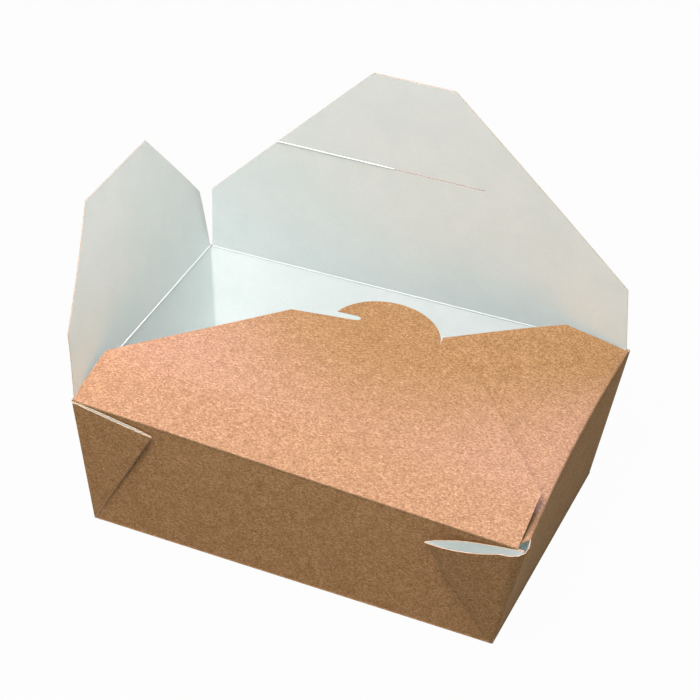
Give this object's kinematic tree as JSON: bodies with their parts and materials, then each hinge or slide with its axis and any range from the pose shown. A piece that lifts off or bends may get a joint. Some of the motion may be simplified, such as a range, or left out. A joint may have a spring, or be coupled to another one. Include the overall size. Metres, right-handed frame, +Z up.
{
  "type": "takeaway box",
  "caption": "Folded board food box with flared walls, webbed corners and a lid of hinged flaps that lock with a round tongue in a slit.",
  "frame": {"origin": "middle of the underside of the base, on the surface that the box stands on", "axes": "+Z up, +X along the box towards the tucked right flap, +Y towards the tall back flap"},
  "size_m": [0.2352, 0.1709, 0.1933],
  "materials": {
    "kraft_board": "uncoated brown kraft outside, pale coated inside"
  },
  "bodies": {
    "tray": {"tray": "kraft_board"},
    "front_flap": {"front_flap": "kraft_board"},
    "left_flap": {"left_flap": "kraft_board"},
    "back_flap": {"back_flap": "kraft_board"}
  },
  "joints": [
    {"name": "front_flap_hinge", "type": "hinge", "parent": "tray", "child": "front_flap", "pos_m": [0, -0.08, 0.065], "axis": [1, 0, 0], "range_deg": [0, 140]},
    {"name": "left_flap_hinge", "type": "hinge", "parent": "tray", "child": "left_flap", "pos_m": [-0.1085, 0, 0.065], "axis": [0, -1, 0], "range_deg": [-12, 60]},
    {"name": "back_flap_hinge", "type": "hinge", "parent": "tray", "child": "back_flap", "pos_m": [0, 0.08, 0.065], "axis": [-1, 0, 0], "range_deg": [-20, 60]}
  ]
}
